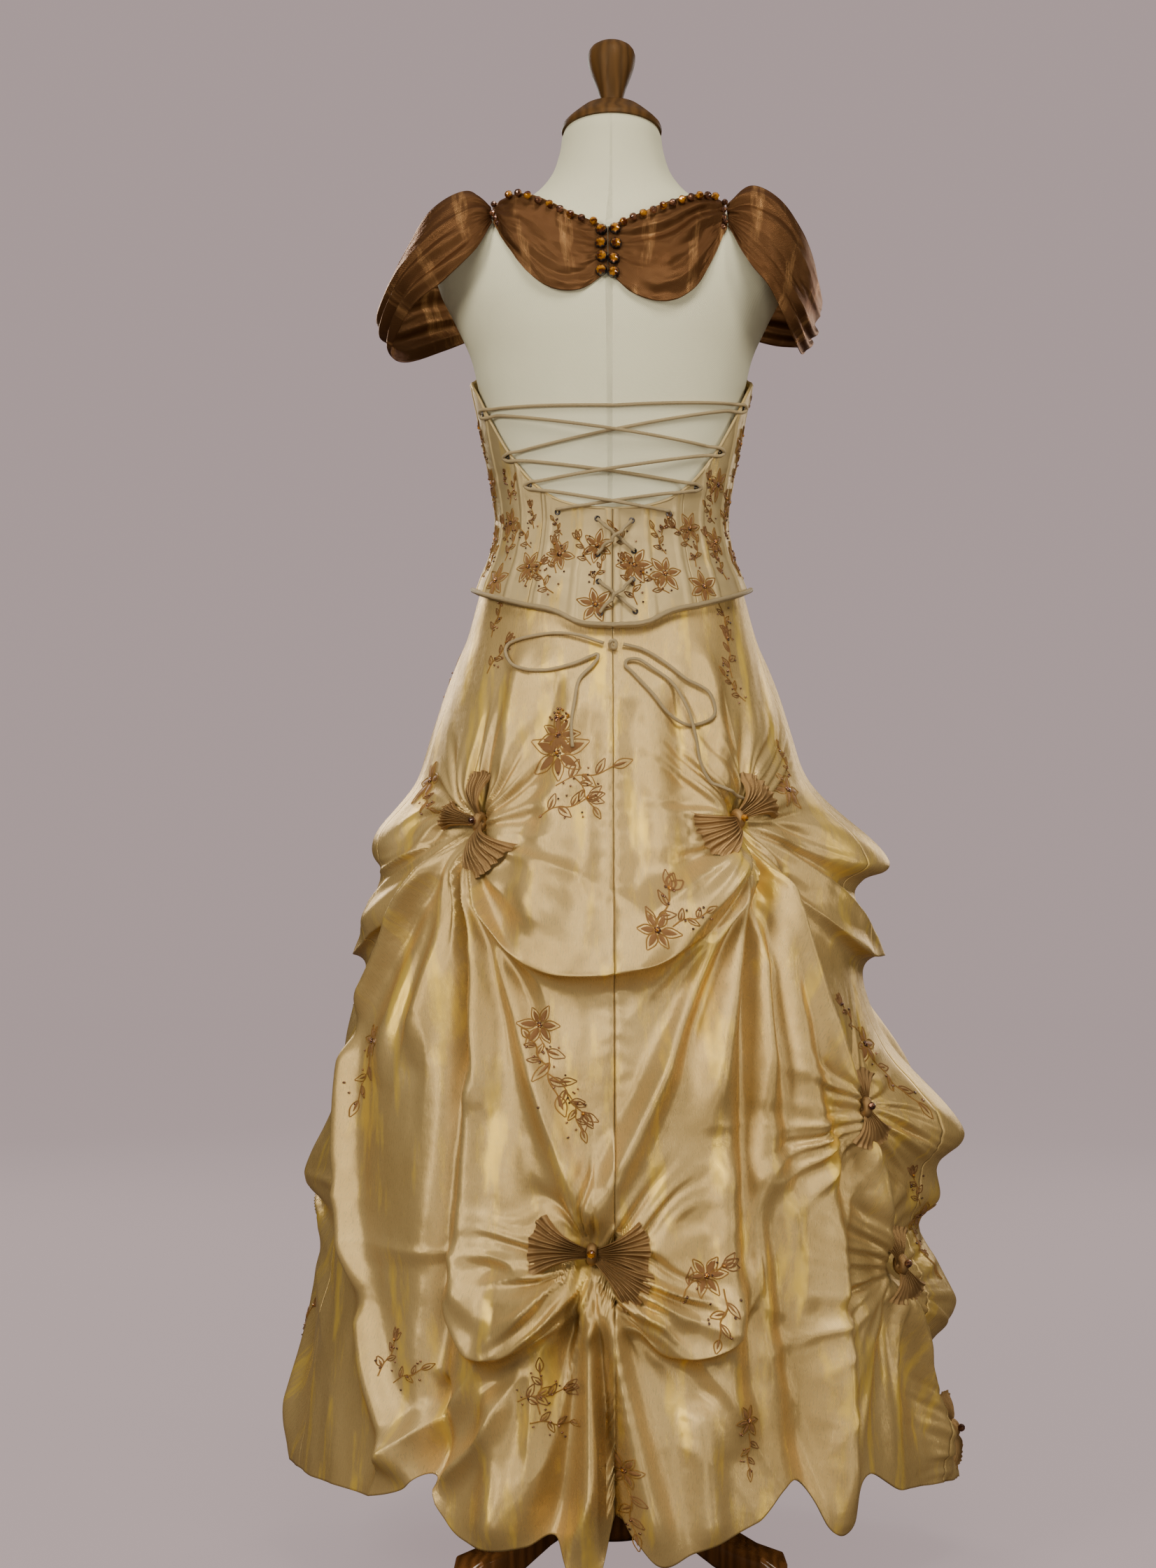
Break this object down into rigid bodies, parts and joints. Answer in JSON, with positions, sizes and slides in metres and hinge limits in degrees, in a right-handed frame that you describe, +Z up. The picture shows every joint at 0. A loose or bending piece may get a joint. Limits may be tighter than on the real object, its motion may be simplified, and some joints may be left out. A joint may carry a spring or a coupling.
{
  "type": "rococo gown on a dress form",
  "caption": "Strapless laced ball gown with a draped organza collar and a picked-up satin skirt, standing on a limbless dress form.",
  "frame": {"origin": "centre of the object's box, on the floor under the stand", "axes": "+Z up; the gown's back faces -Y and its front +Y; the wearer's right is +X"},
  "size_m": [0.7373, 0.7105, 1.662],
  "materials": {
    "linen": "matt cream linen over a padded torso",
    "wood": "varnished warm brown",
    "dark_wood": "varnished dark brown",
    "bodice_satin": "gold satin with flower embroidery and beads",
    "skirt_satin": "gold two-tone satin with a strong sheen",
    "organza": "brown shot organza",
    "cord": "matt beige twisted cord",
    "amber": "faceted amber and copper beads"
  },
  "bodies": {
    "root": {"form_body": "linen", "neck_cap": "wood", "finial": "wood", "pole": "dark_wood", "base_hub": "dark_wood", "leg_1": "dark_wood", "leg_2": "dark_wood", "leg_3": "dark_wood", "leg_4": "dark_wood", "bodice_back_right": "bodice_satin", "bodice_back_side_right": "bodice_satin", "bodice_side_right": "bodice_satin", "bodice_front_side_right": "bodice_satin", "bodice_front": "bodice_satin", "bodice_front_side_left": "bodice_satin", "bodice_side_left": "bodice_satin", "bodice_back_side_left": "bodice_satin", "bodice_back_left": "bodice_satin", "waist_cord": "cord", "skirt_back_left": "skirt_satin", "skirt_back_right": "skirt_satin", "skirt_side_right": "skirt_satin", "skirt_front": "skirt_satin", "skirt_side_left": "skirt_satin", "drape_back_left": "organza", "drape_back_right": "organza", "drape_shoulder_left": "organza", "drape_shoulder_right": "organza", "drape_front_left": "organza", "drape_front_right": "organza", "bead_chain_left": "amber", "bead_chain_right": "amber", "clasp_left": "amber", "clasp_right": "amber", "shoulder_beads_left": "amber", "shoulder_beads_right": "amber", "lace_a": "cord", "lace_b": "cord", "lace_cross_1": "cord", "lace_cross_2": "cord", "lace_cross_3": "cord", "lace_cross_4": "cord", "lace_knot": "cord", "lace_bow_left": "cord", "lace_bow_right": "cord", "bow_1": "organza", "bow_2": "organza", "bow_3": "organza", "bow_4": "organza", "bow_5": "organza", "bow_6": "organza", "bow_7": "organza", "bow_8": "organza", "bow_9": "organza", "bow_10": "organza"}
  },
  "joints": []
}
